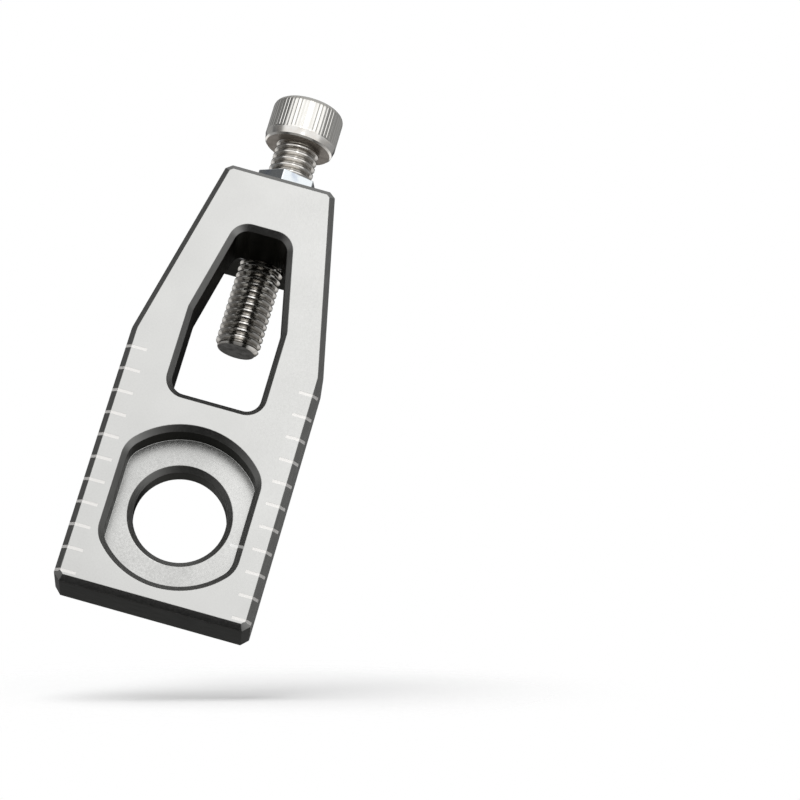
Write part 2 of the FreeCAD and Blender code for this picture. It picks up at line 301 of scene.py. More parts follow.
# Chamfers of the back, milled in small steps: alternate pale and dark lines beside the edge
STEPPED = AluminiumFinish(
    "step_milled_aluminium", "#b4b4b2", "#6e6e6c", 0.34, relief=0.02,
    bands=Bands("Y", "SIN", pitch=0.36, strength=0.5, phase=1.0),
)
# Outer side walls, cut with the flank of an end mill: even and pale, with traces along the plate
WALL = AluminiumFinish("wall_milled_aluminium", "#c0c0be", "#b2b2b0", 0.36, relief=0.004, grain=Grain.ALONG)
# Lower end and the block's underside: painted shade, near black, on the faces that look down, with traces
# across the plate
PAINTED_SHADE_END = AluminiumFinish(
    "end_aluminium_painted_shade", "#30302d", "#282826", 0.4, relief=0.004, grain=Grain.ACROSS, edge="#b4b4b4"
)
# Walls of the bore, the recess and the window: dark grey painted shade inside the openings, with the cutter's
# traces from front to back
INNER_PAINTED_SHADE = AluminiumFinish(
    "inner_aluminium_painted_shade", "#3c3c39", "#333331", 0.36, relief=0.004, grain=Grain.DEPTH, edge="#acacac"
)
# Laser-marked scale: the burnt oxide is nearly white and softens the metal's shine
MARKED = AluminiumFinish(
    "laser_marked_aluminium", "#f9f7f4", "#f3f1ee", 0.4, speck=0.3, relief=0.0, metallic=0.7
)
# Pointer line beside the bore: marked like the scales, and a little smoother
POINTED = AluminiumFinish("laser_whitened_aluminium", "#f8f8f6", "#f4f4f2", 0.3, relief=0.0, metallic=0.7)


class PlateFace(Enum):
    """Faces of the plate, by the finish that they have."""

    FRONT = BLASTED
    BACK = MILLED
    POCKET = POCKET
    FRONT_CHAMFER = CHAMFER_WITH_PAINTED_SHADE
    BACK_CHAMFER = STEPPED
    SIDE = WALL
    PAINTED_SHADE_END = PAINTED_SHADE_END
    INSIDE = INNER_PAINTED_SHADE
    MARK = MARKED
    POINTER = POINTED


@dataclass(frozen=True)
class SteelFinish:
    """Bright or plated steel: its colours, its gloss, the size of its stains and the painted shade in its
    grooves.

    Sizes, `edge` and `metallic` are as in the other finish.
    """

    name: str
    pale: str
    deep: str
    tint: str
    roughness: float
    stain: float
    speck: float = 0.2
    uneven: float = 0.3
    relief: float = 0.003
    grain: Grain = Grain.NONE
    # Painted shade: a darker colour in the grooves, from the radius below out to crest_radius, where it fades
    # into the crest's colour
    groove_shade: str = ""
    groove_shade_radius: float = 0.0
    crest_radius: float = 1.0
    axis: float = 9.15
    edge: str = "#ffffff"
    metallic: float = 1.0

    def make(self) -> Material:
        """Build the material.

        Returns:
            Glossy metal with faint stains and tinted clouds.
        """
        material = bpy.data.materials.new(self.name)
        material.use_nodes = True
        tree = material.node_tree
        shader = tree.nodes["Principled BSDF"]
        shader.inputs["Metallic"].default_value = self.metallic
        shader.inputs["Specular Tint"].default_value = linear(self.edge)
        place = add_node(tree, "ShaderNodeTexCoord").outputs["Object"]
        clouds = add_node(
            tree, "ShaderNodeTexNoise", {"Vector": place, "Scale": cells(self.stain), "Detail": 4}
        )
        stretched = add_node(tree, "ShaderNodeMapping", {"Vector": place, "Scale": self.grain.value})
        specks = add_node(
            tree,
            "ShaderNodeTexNoise",
            {"Vector": stretched.outputs[0], "Scale": cells(self.speck), "Detail": 2},
        )
        grey = add_node(
            tree,
            "ShaderNodeMix",
            {0: specks.outputs["Fac"], MIX_COLOUR_A: linear(self.deep), MIX_COLOUR_B: linear(self.pale)},
            data_type="RGBA",
        )
        amount = add_node(
            tree, "ShaderNodeMapRange", {"Value": clouds.outputs["Fac"], "From Min": 0.45, "From Max": 0.65}
        )
        colour = add_node(
            tree,
            "ShaderNodeMix",
            {0: amount.outputs[0], MIX_COLOUR_A: grey.outputs[MIX_COLOUR], MIX_COLOUR_B: linear(self.tint)},
            data_type="RGBA",
        )
        shade = colour.outputs[MIX_COLOUR]
        # Painted shade in the grooves
        if self.groove_shade:
            shade = self.paint_groove_shade(tree, place, shade)
        gloss = add_node(
            tree,
            "ShaderNodeMapRange",
            {
                "Value": clouds.outputs["Fac"],
                "From Min": NOISE_LOW,
                "From Max": NOISE_HIGH,
                "To Min": self.roughness * (1 - self.uneven),
                "To Max": self.roughness * (1 + self.uneven),
            },
        )
        relief = add_node(
            tree,
            "ShaderNodeBump",
            {"Height": specks.outputs["Fac"], "Strength": 1, "Distance": self.relief * MM},
        )
        tree.links.new(shade, shader.inputs["Base Color"])
        tree.links.new(gloss.outputs[0], shader.inputs["Roughness"])
        tree.links.new(relief.outputs[0], shader.inputs["Normal"])
        return material

    def paint_groove_shade(self, tree: NodeTree, place: NodeSocket, shade: NodeSocket) -> NodeSocket:
        """Paint shade into the grooves, which lie nearer to the screw's axis.

        Args:
            tree: the material's node tree.
            place: object coordinates.
            shade: colour on the crests.

        Returns:
            Colour that goes over to the painted shade's colour in the grooves.
        """
        centred = add_node(
            tree,
            "ShaderNodeMapping",
            {"Vector": place, "Location": (0, -self.axis * MM, 0), "Scale": (1, 1, 0)},
        )
        radius = add_node(tree, "ShaderNodeVectorMath", {0: centred.outputs[0]}, operation="LENGTH")
        rise = add_node(
            tree,
            "ShaderNodeMapRange",
            {
                "Value": radius.outputs["Value"],
                "From Min": self.groove_shade_radius * MM,
                "From Max": self.crest_radius * MM,
            },
        )
        return add_node(
            tree,
            "ShaderNodeMix",
            {0: rise.outputs[0], MIX_COLOUR_A: linear(self.groove_shade), MIX_COLOUR_B: shade},
            data_type="RGBA",
        ).outputs[MIX_COLOUR]


# Rolled stainless thread: bright crests with fine lines round them; painted shade dulls the roots, and a dark
# edge tint paints shade round its outline
ROLLED = SteelFinish(
    "rolled_stainless_steel", "#faf8f5", "#d4d0ca", "#e6e2dc", 0.17, 1.2, relief=0.01, grain=Grain.ROUND,
    groove_shade="#aeaaa4", groove_shade_radius=3.27, crest_radius=3.6, edge="#303030",
)
# Knurled stainless steel: bright, with painted shade that dulls the grooves between the ridges
KNURLED = SteelFinish(
    "knurled_stainless_steel", "#fbfaf7", "#f0eeea", "#f2f0eb", 0.12, 2.0, grain=Grain.ALONG,
    groove_shade="#e4e2dc", groove_shade_radius=6.34, crest_radius=6.39,
)
# Turned stainless steel: bright, nearly white, a little brown
TURNED = SteelFinish(
    "turned_stainless_steel", "#faf8f5", "#e8e6e1", "#ebe6df", 0.18, 1.6, relief=0.005, grain=Grain.ROUND
)
# Underside of the head: turned and brownish, darkened to grey as painted shade under the head
UNDERSIDE_PAINTED_SHADE = SteelFinish(
    "faced_stainless_steel_painted_shade", "#978f86", "#877f77", "#8d857c", 0.34, 1.5, edge="#d0d0d0", metallic=0.6
)
# Cropped face at the tip: dark grey painted shade on the downward face
TIP_PAINTED_SHADE = SteelFinish("cropped_stainless_steel_painted_shade", "#3c3a36", "#34322f", "#383632", 0.36, 1.2, edge="#d8d8d8")
# Blue-passivated zinc plating: bluish white and bright, with faint clouds of a deeper blue
ZINC = SteelFinish("blue_zinc_plated_steel", "#f2f6f8", "#e8eef2", "#d2dae6", 0.16, 2.2)


class HeadFace(Enum):
    """Faces of the screw's head, by the finish that they have."""

    KNURL = KNURLED
    TURNED = TURNED
    UNDERSIDE = UNDERSIDE_PAINTED_SHADE


def make_all(faces: type[Enum]) -> list[Material]:
    """Build the material of each kind of face, in the order of the slots."""
    return [face.value.make() for face in faces]


def slot(face: Enum) -> int:
    """Number of the material slot that belongs to a kind of face."""
    return list(type(face)).index(face)


def add_object(name: str, data: ID) -> Object:
    """Put a mesh, a camera or a lamp in the scene.

    Args:
        name: name of its object.
        data: the mesh, camera or lamp.

    Returns:
        The new object.
    """
    made = bpy.data.objects.new(name, data)
    bpy.context.scene.collection.objects.link(made)
    return made


def new_piece(name: str, shape: BMesh, materials: list[Material], scale: float = MM) -> Object:
    """Make an object of a finished bmesh, with its place in its mesh.

    Args:
        name: the piece's name.
        shape: bmesh, which is freed.
        materials: materials for its slots.
        scale: size of one of the bmesh's units, in metres.

    Returns:
        The object, shaded smooth between its sharp edges.
    """
    if scale != 1:
        bmesh.ops.scale(shape, vec=(scale,) * 3, verts=shape.verts)
    mesh = bpy.data.meshes.new(name)
    shape.to_mesh(mesh)
    shape.free()
    for material in materials:
        mesh.materials.append(material)
    if IMPORTED_NORMALS in mesh.attributes:
        mesh.attributes.remove(mesh.attributes[IMPORTED_NORMALS])
    mesh.shade_smooth()
    mesh.set_sharp_from_angle(angle=ROUND_ANGLE)
    return add_object(name, mesh)


def combine(piece: Object, other: Object, operation: str) -> None:
    """Join another shape to a piece or take it away, for good, and delete that shape.

    Args:
        piece: closed piece that is changed; new faces keep the other shape's material.
        other: closed shape.
        operation: the boolean's name, such as DIFFERENCE.
    """
    step = piece.modifiers.new("combine", "BOOLEAN")
    step.operation = operation
    step.solver = "EXACT"
    step.material_mode = "TRANSFER"
    step.object = other
    graph = bpy.context.evaluated_depsgraph_get()
    changed = bpy.data.meshes.new_from_object(piece.evaluated_get(graph))
    piece.modifiers.clear()
    old = piece.data
    piece.data = changed
    changed.set_sharp_from_angle(angle=ROUND_ANGLE)
    bpy.data.meshes.remove(old)
    bpy.data.objects.remove(other)


def soften_edges(shape: BMesh, width: float, sharper: float) -> None:
    """Break the sharp edges of a shape, as a deburring brush does.

    Args:
        shape: closed bmesh.
        width: width of the break, in the bmesh's units.
        sharper: least angle of an edge that is broken, in degrees.
    """
    least = math.radians(sharper)
    sharp = [edge for edge in shape.edges if edge.is_manifold and edge.calc_face_angle() > least]
    bmesh.ops.bevel(
        shape,
        geom=sharp,
        offset=width,
        offset_type="OFFSET",
        segments=2,
        profile=0.5,
        affect="EDGES",
        clamp_overlap=True,
        material=-1,
    )


def corner_radius(flats: float) -> float:
    """Radius of a hexagon's corners, from its width across flats."""
    return flats / 2 / math.cos(math.pi / HEXAGON)


def add_round(
    shape: BMesh, sides: int, radii: tuple[float, float], heights: tuple[float, float], axis: float
) -> None:
    """Add a closed cylinder, cone or prism that stands on Z.

    Args:
        shape: bmesh that takes it, in millimetres.
        sides: number of its sides.
        radii: lower and upper radius, to its corners.
        heights: height of its lower and its upper end.
        axis: Y of its axis.
    """
    low, high = heights
    made = bmesh.ops.create_cone(
        shape, cap_ends=True, segments=sides, radius1=radii[0], radius2=radii[1], depth=high - low
    )["verts"]
    bmesh.ops.translate(shape, vec=(0, axis, (low + high) / 2), verts=made)


def spin_profile(shape: BMesh, outline: list[tuple[float, float]], steps: int, climb: float = 0.0) -> None:
    """Spin an outline once round Z, and close its seam and poles if it doesn't climb.

    Args:
        shape: bmesh that takes the turned form.
        outline: radius and height of each point.
        steps: number of steps of the full turn.
        climb: height that a helix gains in the turn.
    """
    spots = [shape.verts.new((across, 0, rise)) for across, rise in outline]
    edges = [shape.edges.new(pair) for pair in zip(spots, spots[1:])]
    bmesh.ops.spin(
        shape,
        geom=spots + edges,
        cent=(0, 0, 0),
        axis=(0, 0, 1),
        dvec=(0, 0, climb / steps),
        angle=math.tau,
        steps=steps,
        use_merge=not climb,
    )
    if not climb:
        bmesh.ops.remove_doubles(shape, verts=shape.verts, dist=MM)


@dataclass
class AxlePlate:
    """Plate with the end block: what each of its faces is, and the marks on it.

    A scale has the height of its highest mark, and how far its marks reach in from the plate's side.
    """

    front: float = -7.95
    floor: float = -2.85
    back: float = 2.85
    end: float = -17.4
    top: float = 61.9
    half_width: float = 16.75
    shoulder: float = 28.4
    top_half_width: float = 9.6
    edge_cut: float = 1.0
    end_reach: float = 1.5
    cove_depth: float = 4.2
    block_low: float = 50.9
    edge_break: float = 0.07
    sharp_angle: float = 25.0
    mark_pitch: float = 4.063
    mark_count: int = 11
    mark_width: float = 0.54
    mark_depth: float = 0.03
    cutter_thickness: float = 0.12
    left_top: float = 24.88
    left_reach: float = 3.65
    right_top: float = 24.9
    right_reach: float = 3.35
    pointer_start: float = 9.4
    recess_flat: float = 11.0
    pointer_end: float = 12.3
    pointer_heights: tuple[float, ...] = (-2.45, -2.5, -3.55, -3.85)

    def face_kind(self, normal: Vector, middle: Vector) -> PlateFace:
        """Tell what a face is by where it is and which way it looks.

        Args:
            normal: the face's normal.
            middle: its centre, in millimetres.

        Returns:
            Kind of face.
        """
        straight, level = 0.98, 0.2
        near = self.edge_cut / 4
        on_block = middle.y > self.back + near
        if normal.y < -straight:
            return PlateFace.FRONT if middle.y < self.front + near else PlateFace.POCKET
        if normal.y > straight:
            return PlateFace.BACK
        if normal.z < -straight and (middle.z < self.end + near or on_block):
            return PlateFace.PAINTED_SHADE_END
        if normal.y < -level:
            return PlateFace.FRONT_CHAMFER
        if normal.y > level:
            in_cove = on_block and middle.y < self.back + self.cove_depth and middle.z < self.block_low
            return PlateFace.BACK if in_cove else PlateFace.BACK_CHAMFER
        taper = max(0.0, (middle.z - self.shoulder) / (self.top - self.shoulder))
        side = self.half_width - taper * (self.half_width - self.top_half_width)
        outer = abs(middle.x) > side - self.edge_cut or middle.z > self.top - near or on_block
        if outer and middle.z < self.end + self.end_reach:
            return PlateFace.PAINTED_SHADE_END
        return PlateFace.SIDE if outer else PlateFace.INSIDE

    def build(self) -> Object:
        """Dress a copy of the plate's node: broken edges, a finish for each face, and the cut marks.

        Returns:
            The piece that stands for the node.
        """
        shape = self.merged_copy()
        for face in shape.faces:
            face.material_index = slot(self.face_kind(face.normal, face.calc_center_median() / MM))
        soften_edges(shape, self.edge_break * MM, self.sharp_angle)
        materials = make_all(PlateFace)
        plate = new_piece("axle_plate", shape, materials, scale=1)
        combine(plate, self.make_marks(materials), "DIFFERENCE")
        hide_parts("adjuster_plate")
        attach(plate, "plate")
        return plate

    def merged_copy(self) -> BMesh:
        """Copy the node's mesh, join its loose triangles and clear the lines inside its flat faces.

        Returns:
            Closed bmesh in metres.
        """
        copy = bmesh.new()
        copy.from_mesh(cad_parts["adjuster_plate"].data)
        bmesh.ops.remove_doubles(copy, verts=copy.verts, dist=WELD)
        bmesh.ops.dissolve_limit(
            copy,
            angle_limit=FLAT_ANGLE,
            use_dissolve_boundaries=False,
            verts=copy.verts,
            edges=copy.edges,
            delimit=set(),
        )
        return copy

    def make_marks(self, materials: list[Material]) -> Object:
        """Make the thin shapes that cut the two scales and the pointer line into the plate.

        Args:
            materials: the plate's materials.

        Returns:
            One object that holds all the cutting shapes.
        """
        shape = bmesh.new()
        bend = (self.half_width - self.edge_cut, self.front)
        foot = (self.half_width + self.edge_cut, self.front + 2 * self.edge_cut)
        scales = ((-1, self.left_top, self.left_reach), (1, self.right_top, self.right_reach))
        for side, highest, reach in scales:
            start = (self.half_width - reach, self.front)
            for number in range(self.mark_count):
                height = highest - number * self.mark_pitch
                line = [Vector((side * across, deep, 0)) for across, deep in (start, bend, foot)]
                self.add_band(shape, line, height - self.mark_width / 2, height + self.mark_width / 2)
        slant = self.pointer_end - self.recess_flat - self.edge_cut
        pointer = [
            (self.pointer_start, self.floor),
            (self.recess_flat, self.floor),
            (self.recess_flat, self.front + self.edge_cut),
            (self.pointer_end, self.front - slant),
        ]
        line = [Vector((*spot, height)) for spot, height in zip(pointer, self.pointer_heights)]
        self.add_band(shape, line, -self.mark_width / 2, self.mark_width / 2)
        for face in shape.faces:
            inner = abs(face.calc_center_median().x) < self.pointer_end
            face.material_index = slot(PlateFace.POINTER if inner else PlateFace.MARK)
        bmesh.ops.recalc_face_normals(shape, faces=shape.faces)
        return new_piece("marks", shape, materials)

    def add_band(self, shape: BMesh, line: list[Vector], low: float, high: float) -> None:
        """Add a thin bent band that lies in the plate's surface.

        Args:
            shape: bmesh that takes the band, in millimetres.
            line: the band's bends, seen along Z, along the plate's surface.
            low: height of its lower edge.
            high: height of its upper edge.
        """
        spots = [shape.verts.new(point + Vector((0, 0, low))) for point in line]
        edges = [shape.edges.new(pair) for pair in zip(spots, spots[1:])]
        grown = bmesh.ops.extrude_edge_only(shape, edges=edges)["geom"]
        risen = [part for part in grown if isinstance(part, BMVert)]
        bmesh.ops.translate(shape, vec=(0, 0, high - low), verts=risen)
        faces = [part for part in grown if isinstance(part, BMFace)]
        bmesh.ops.recalc_face_normals(shape, faces=faces)
        if faces[0].normal.y > 0:
            bmesh.ops.reverse_faces(shape, faces=faces)
        sheet = list({vert for face in faces for vert in face.verts})
        for vert in sheet:
            vert.normal_update()
        for vert in sheet:
            vert.co -= vert.normal * self.mark_depth
        bmesh.ops.solidify(shape, geom=faces, thickness=-self.cutter_thickness)


@dataclass
class AdjustingScrew:
    """Socket screw: a rolled thread up to a knurled head with a hexagon socket.

    Heights from `root_flat` to `crest_low` count from the middle of the thread's root, and those from
    `neck_cut` to `knurl_low` from the head's underside. `ridge_form` has the corners of a ridge, as shares of
    its turn and of the groove's depth. Shapes that join or cut run `overlap` or `past` into each other.
    """

    axis: float = 9.15
    tip: float = 35.0
    head_low: float = 75.0
    head_height: float = 8.0
    crest: float = 3.95
    root: float = 3.27
    pitch: float = 1.25
    root_flat: float = 0.1
    blend: float = 0.06
    blend_low: float = 0.17
    blend_high: float = 0.45
    crest_low: float = 0.5
    turn_steps: int = 48
    spare_turns: int = 2
    tip_radius: float = 3.35
    tip_rise: float = 1.0
    head_radius: float = 6.4
    head_round: float = 1.3
    underside_ring: float = 5.2
    neck_radius: float = 6.13
    neck_cut: float = 0.3
    step_cut: float = 0.05
    step_low: float = 1.3
    step_high: float = 1.45
    collar_high: float = 1.75
    knurl_low: float = 1.6
    knurl_inset: float = 0.5
    ridges: int = 57
    ridge_form: tuple[tuple[float, float], ...] = ((0.0, 0.0), (0.3, 0.0), (0.5, 1.0), (0.8, 1.0))
    groove: float = 0.045
    socket_flats: float = 6.0
    socket_deep: float = 4.2
    socket_mouth: float = 0.5
    socket_steps: int = 48
    mouth_cut: float = 0.5
    mouth_past: float = 0.2
    drill_rise: float = 1.2
    overlap: float = 0.1
    past: float = 1.0

    def build(self) -> list[Object]:
        """Build the thread and the head.

        Returns:
            The two pieces, which stand for the screw's node.
        """
        thread = self.make_thread()
        head = self.make_head()
        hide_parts("adjusting_screw")
        for piece in (thread, head):
            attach(piece, "screw")
        return [thread, head]

    def thread_profile(self) -> list[tuple[float, float]]:
        """List one pitch of the thread's outline, from root to root, with a flat crest and root.

        Returns:
            Radius and height of each point.
        """
        rising = [
            (self.root, 0.0), (self.root, self.root_flat), (self.root + self.blend, self.blend_low),
            (self.crest - self.blend, self.blend_high), (self.crest, self.crest_low),
        ]
        middle = self.pitch / 2
        falling = [(across, self.pitch - rise) for across, rise in reversed(rising)]
        return rising + [(self.crest, middle)] + falling

    def make_thread(self) -> Object:
        """Wind the thread's profile up the screw and trim it at the tip and in the head.

        Returns:
            The threaded shank.
        """
        top = self.head_low + self.overlap
        turns = math.ceil((top - self.tip) / self.pitch) + 2 * self.spare_turns
        start = self.tip - self.spare_turns * self.pitch
        shape = bmesh.new()
        outline = [(across, start + rise) for across, rise in self.thread_profile()]
        spin_profile(shape, outline, self.turn_steps, climb=self.pitch)
        one_turn = shape.verts[:] + shape.edges[:] + shape.faces[:]
        for turn in range(1, turns):
            copied = bmesh.ops.duplicate(shape, geom=one_turn)["geom"]
            moved = [part for part in copied if isinstance(part, BMVert)]
            bmesh.ops.translate(shape, vec=(0, 0, turn * self.pitch), verts=moved)
        bmesh.ops.remove_doubles(shape, verts=shape.verts, dist=MM)
        for height, outer in ((self.tip, False), (top, True)):
            bmesh.ops.bisect_plane(
                shape,
                geom=shape.verts[:] + shape.edges[:] + shape.faces[:],
                plane_co=(0, 0, height),
                plane_no=(0, 0, 1),
                clear_outer=outer,
                clear_inner=not outer,
            )
        for vert in shape.verts:
            across = math.hypot(vert.co.x, vert.co.y)
            widest = self.tip_radius + (vert.co.z - self.tip) * (self.crest - self.tip_radius) / self.tip_rise
            if across > widest:
                vert.co.x *= widest / across
                vert.co.y *= widest / across
        rim = [edge for edge in shape.edges if edge.is_boundary]
        bmesh.ops.holes_fill(shape, edges=rim, sides=0)
        bmesh.ops.recalc_face_normals(shape, faces=shape.faces)
        bmesh.ops.translate(shape, vec=(0, self.axis, 0), verts=shape.verts)
        downwards = -0.95
        for face in shape.faces:
            face.material_index = 1 if face.normal.z < downwards else 0
        return new_piece("screw_thread", shape, [ROLLED.make(), TIP_PAINTED_SHADE.make()])

    def head_profile(self) -> list[tuple[float, float]]:
        """List the head's outline from its underside to its top.

        Returns:
            Radius and height above the underside of each point.
        """
        outline = [
            (0, 0), (self.underside_ring, 0), (self.neck_radius - self.neck_cut, 0),
            (self.neck_radius, self.neck_cut), (self.head_radius - self.step_cut, self.step_low),
            (self.head_radius, self.step_high), (self.head_radius, self.collar_high),
        ]
        shoulder = self.head_height - self.head_round
        for angle in map(math.radians, range(0, 91, 15)):
            across = self.head_radius - self.head_round * (1 - math.cos(angle))
            outline.append((across, shoulder + self.head_round * math.sin(angle)))
        outline.append((0, self.head_height))
        return outline

    def press_knurl(self, shape: BMesh) -> None:
        """Press the grooves between the ridges into the head's side.

        Args:
            shape: the spun head, on its own axis, with a corner for each of a ridge's four.
        """
        steps = self.ridges * len(self.ridge_form)
        for vert in shape.verts:
            across = math.hypot(vert.co.x, vert.co.y)
            if vert.co.z < self.knurl_low or across < self.head_radius - self.knurl_inset:
                continue
            step = round(math.atan2(vert.co.y, vert.co.x) / math.tau * steps)
            share, depth = self.ridge_form[step % len(self.ridge_form)]
            turn = (step // len(self.ridge_form) + share) / self.ridges * math.tau
            vert.co.x = (across - depth * self.groove) * math.cos(turn)
            vert.co.y = (across - depth * self.groove) * math.sin(turn)

    def make_head(self) -> Object:
        """Spin the head, press the knurl into its side and cut the socket.

        Returns:
            The head.
        """
        shape = bmesh.new()
        spin_profile(shape, self.head_profile(), self.ridges * len(self.ridge_form))
        self.press_knurl(shape)
        bmesh.ops.recalc_face_normals(shape, faces=shape.faces)
        bmesh.ops.translate(shape, vec=(0, self.axis, self.head_low), verts=shape.verts)
        for face in shape.faces:
            face.material_index = slot(self.face_kind(face.normal, face.calc_center_median()))
        materials = make_all(HeadFace)
        head = new_piece("screw_head", shape, materials)
        for cutter in self.make_socket(materials):
            combine(head, cutter, "DIFFERENCE")
        return head

    def face_kind(self, normal: Vector, middle: Vector) -> HeadFace:
        """Tell what one of the head's faces is.

        Args:
            normal: the face's normal.
            middle: its centre.

        Returns:
            Kind of face.
        """
        downwards, upwards = -0.9, 0.8
        if normal.z < downwards:
            return HeadFace.UNDERSIDE
        low = self.head_low + self.knurl_low - self.overlap
        high = self.head_low + self.head_height - self.knurl_inset
        on_side = low < middle.z < high and normal.z < upwards
        return HeadFace.KNURL if on_side else HeadFace.TURNED

    def make_socket(self, materials: list[Material]) -> list[Object]:
        """Make the shapes that cut the hexagon socket.

        Args:
            materials: the head's materials.

        Returns:
            The hexagon, the cone at its mouth and the drill's cone at its bottom.
        """
        flat = self.socket_flats / 2
        corner = corner_radius(self.socket_flats)
        top = self.head_low + self.head_height
        bottom = top - self.socket_deep
        mouth_low = top - self.socket_mouth
        deepest = bottom - self.drill_rise
        forms = (
            (HEXAGON, (corner, corner), (bottom, top + self.past)),
            (self.socket_steps, (flat, corner + self.mouth_cut), (mouth_low, top + self.mouth_past)),
            (self.socket_steps, (0.0, flat - self.overlap), (deepest, bottom + self.overlap)),
        )
        cutters = []
        for sides, radii, heights in forms:
            shape = bmesh.new()
            add_round(shape, sides, radii, heights, self.axis)
            for face in shape.faces:
                face.material_index = slot(HeadFace.TURNED)
            cutters.append(new_piece("socket", shape, materials))
        return cutters


@dataclass
class LockNut:
    """Flanged hexagon nut that locks the screw against the block, turned by `turn` degrees."""

    axis: float = 9.15
    seat: float = 61.9
    height: float = 6.5
    flats: float = 10.0
    turn: float = -68.2
    flange_radius: float = 6.75
    flange_rim: float = 0.8
    flange_rise: float = 1.6
    hole_radius: float = 4.05
    edge_break: float = 0.12
    sharp_angle: float = 45.0
    round_steps: int = 96
    past: float = 1.0

    def build(self) -> Object:
        """Join the hexagon and the flange, bore the nut and plate it.

        Returns:
            The piece that stands for the node.
        """
        plating = [ZINC.make()]
        corner = corner_radius(self.flats)
        shape = bmesh.new()
        add_round(shape, HEXAGON, (corner, corner), (0, self.height), 0)
        facing = Matrix.Rotation(math.radians(self.turn), 3, "Z")
        bmesh.ops.rotate(shape, cent=(0, 0, 0), matrix=facing, verts=shape.verts)
        soften_edges(shape, self.edge_break, self.sharp_angle)
        nut = self.set_down("flange_nut", shape, plating)
        flange = bmesh.new()
        flange_top = self.flange_rim + self.flange_rise
        profile = [
            (0, 0), (self.flange_radius, 0), (self.flange_radius, self.flange_rim),
            (self.flats / 2, flange_top), (0, flange_top),
        ]
        spin_profile(flange, profile, self.round_steps)
        bmesh.ops.recalc_face_normals(flange, faces=flange.faces)
        combine(nut, self.set_down("flange", flange, plating), "UNION")
        hole = bmesh.new()
        ends = (-self.past, self.height + self.past)
        add_round(hole, self.round_steps, (self.hole_radius, self.hole_radius), ends, 0)
        combine(nut, self.set_down("hole", hole, plating), "DIFFERENCE")
        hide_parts("lock_nut")
        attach(nut, "nut")
        return nut

    def set_down(self, name: str, shape: BMesh, plating: list[Material]) -> Object:
        """Make an object of a shape and set it on the block, round the screw's axis."""
        bmesh.ops.translate(shape, vec=(0, self.axis, self.seat), verts=shape.verts)
        return new_piece(name, shape, plating)


@dataclass(frozen=True)
class Fade:
    """Smooth change of brightness along one axis of the direction that is looked in."""

    axis: str
    start: float
    stop: float
    first: float = 0.0
    last: float = 1.0


@dataclass(frozen=True)
class Panel:
    """One bright part of the surroundings: the product of its fades."""

    fades: tuple[Fade, ...]

    def add(self, tree: NodeTree, split: Node) -> NodeSocket:
        """Add the panel to the world.

        Args:
            tree: the world's node tree.
            split: node that gives the direction's three parts.

        Returns:
            Brightness of the panel in that direction.
        """
        level = None
        for fade in self.fades:
            part = add_node(
                tree,
                "ShaderNodeMapRange",
                {
                    "Value": split.outputs[fade.axis],
                    "From Min": fade.start,
                    "From Max": fade.stop,
                    "To Min": fade.first,
                    "To Max": fade.last,
                },
                interpolation_type="SMOOTHSTEP",
            ).outputs[0]
            if level:
                part = add_node(tree, "ShaderNodeMath", {0: level, 1: part}, operation="MULTIPLY").outputs[0]
            level = part
        return level


# White backdrop behind the camera, dimmer above the horizon, brightest near the ceiling, dark at the floor
AHEAD = Panel((
    Fade("Y", -0.25, -0.6), Fade("Z", 0.2, 0.45, 0.76, 1.12), Fade("Z", 0.0, 0.25, 1.25, 1.0),
    Fade("Z", -0.6, -0.15),
))
# White backdrop behind the object, from the horizon down to near the floor
BEHIND = Panel((
    Fade("Y", 0.3, 0.65), Fade("X", -0.9, -0.6), Fade("X", 0.9, 0.6), Fade("Z", 0.2, 0.0),
    Fade("Z", -0.62, -0.38, 0.08, 1.0),
))
# Dim walls behind the object to its left and right
BESIDE = Panel((Fade("Y", 0.05, 0.4, 0.0, 0.3), Fade("Y", 0.92, 0.75), Fade("Z", -0.4, 0.0)))
# Dim floor, as far as it lies behind the object
BELOW = Panel((Fade("Y", -0.15, 0.35, 0.0, 0.17), Fade("Z", -0.3, -0.7)))
# Dim ceiling
ABOVE = Panel((Fade("Z", 0.6, 0.9, 0.0, 0.5),))
# Dim room: palest just below the horizon and to the right, darker straight down, above and straight behind
ROOM = Panel((
    Fade("Z", -0.95, -0.4, 0.0, 0.55), Fade("Z", -0.2, 0.2, 1.0, 0.35), Fade("X", -1.0, 1.0, 0.6, 1.25),
    Fade("Y", 0.4, 0.85, 1.0, 0.3),
))


